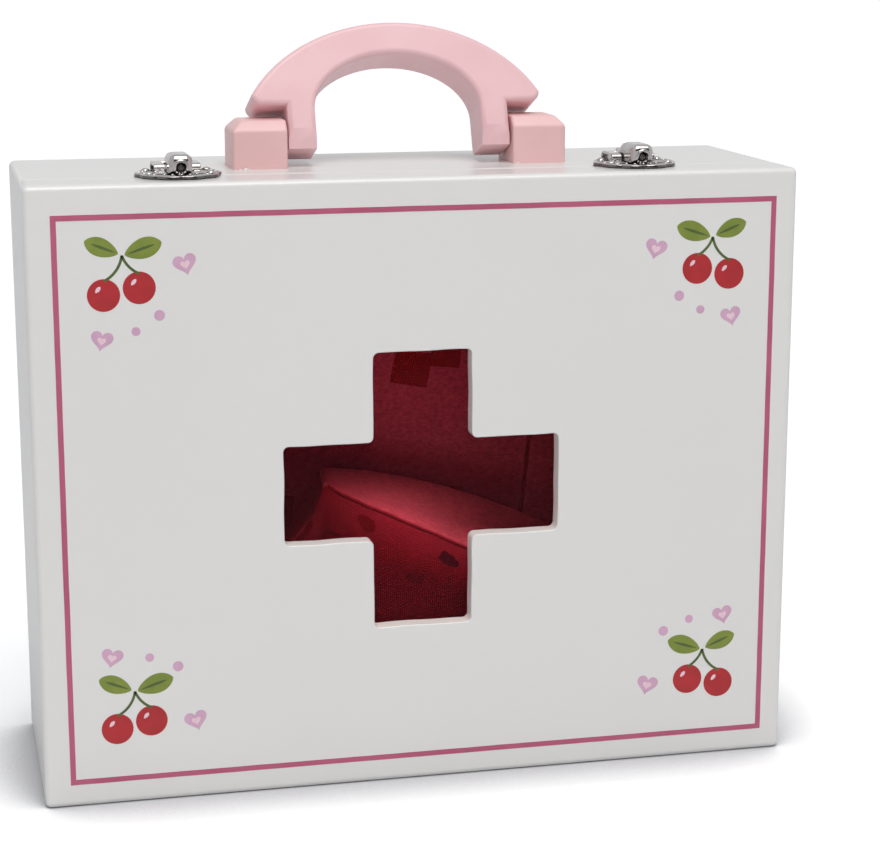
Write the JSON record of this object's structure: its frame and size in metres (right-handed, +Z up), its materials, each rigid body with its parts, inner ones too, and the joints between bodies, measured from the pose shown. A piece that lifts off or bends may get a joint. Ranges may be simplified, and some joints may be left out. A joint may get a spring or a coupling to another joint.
{
  "type": "toy doctor case",
  "caption": "Flat wooden toy doctor's case with a cross-shaped red window in its hinged front lid, an arched carrying handle and box latches on top.",
  "frame": {"origin": "middle of the case's footprint, on the surface it stands on", "axes": "+X to the right seen from the window side, +Y to the back, -Y out of the window, +Z up through the handle"},
  "size_m": [0.25, 0.084, 0.2457],
  "materials": {
    "white_paint": "smooth white lacquer, satin gloss",
    "pink_paint": "smooth pale pink lacquer, satin",
    "chrome": "bright nickel or chrome plate on stamped sheet",
    "zinc_steel": "zinc plated, dull",
    "red_acrylic": "clear red sheet, glossy",
    "cotton": "plain woven cotton with a small print"
  },
  "bodies": {
    "tray": {"back_panel": "white_paint", "block_screw_1": "zinc_steel", "block_screw_2": "zinc_steel", "block_screw_3": "zinc_steel", "block_screw_4": "zinc_steel", "folded_cloth": "cotton", "handle_block_left": "pink_paint", "handle_block_right": "pink_paint", "handle_pin_left": "zinc_steel", "handle_pin_right": "zinc_steel", "hinge_leaf_tray_left": "zinc_steel", "hinge_leaf_tray_right": "zinc_steel", "hinge_pin_left": "zinc_steel", "hinge_pin_right": "zinc_steel", "hinge_screw_tray_1": "zinc_steel", "hinge_screw_tray_2": "zinc_steel", "hinge_screw_tray_3": "zinc_steel", "hinge_screw_tray_4": "zinc_steel", "latch_nail_rear_1": "chrome", "latch_nail_rear_2": "chrome", "latch_nail_rear_3": "chrome", "latch_nail_rear_4": "chrome", "latch_pin_left": "chrome", "latch_pin_right": "chrome", "latch_rear_plate_left": "chrome", "latch_rear_plate_right": "chrome", "tray_bottom_board": "white_paint", "tray_left_side": "white_paint", "tray_right_side": "white_paint", "tray_top_board": "white_paint"},
    "lid": {"front_panel": "white_paint", "hinge_leaf_lid_left": "zinc_steel", "hinge_leaf_lid_right": "zinc_steel", "hinge_screw_lid_1": "zinc_steel", "hinge_screw_lid_2": "zinc_steel", "hinge_screw_lid_3": "zinc_steel", "hinge_screw_lid_4": "zinc_steel", "latch_catch_plate_left": "chrome", "latch_catch_plate_right": "chrome", "latch_nail_front_1": "chrome", "latch_nail_front_2": "chrome", "latch_nail_front_3": "chrome", "latch_nail_front_4": "chrome", "lid_bottom_board": "white_paint", "lid_left_side": "white_paint", "lid_right_side": "white_paint", "lid_top_board": "white_paint", "window_pane": "red_acrylic"},
    "handle": {"handle_grip": "pink_paint"},
    "hasp_left": {"latch_hasp_left": "chrome"},
    "hasp_right": {"latch_hasp_right": "chrome"}
  },
  "joints": [
    {"name": "lid_hinge", "type": "hinge", "parent": "tray", "child": "lid", "pos_m": [0, -0.022, 0.00135], "axis": [1, 0, 0], "range_deg": [0, 105]},
    {"name": "handle_swing", "type": "hinge", "parent": "tray", "child": "handle", "pos_m": [0, 0.002, 0.208], "axis": [1, 0, 0], "range_deg": [0, 42]},
    {"name": "hasp_left_lift", "type": "hinge", "parent": "tray", "child": "hasp_left", "pos_m": [-0.0753, -0.0115, 0.2032], "axis": [-1, 0, 0], "range_deg": [0, 150]},
    {"name": "hasp_right_lift", "type": "hinge", "parent": "tray", "child": "hasp_right", "pos_m": [0.0753, -0.0115, 0.2032], "axis": [-1, 0, 0], "range_deg": [0, 150]}
  ]
}
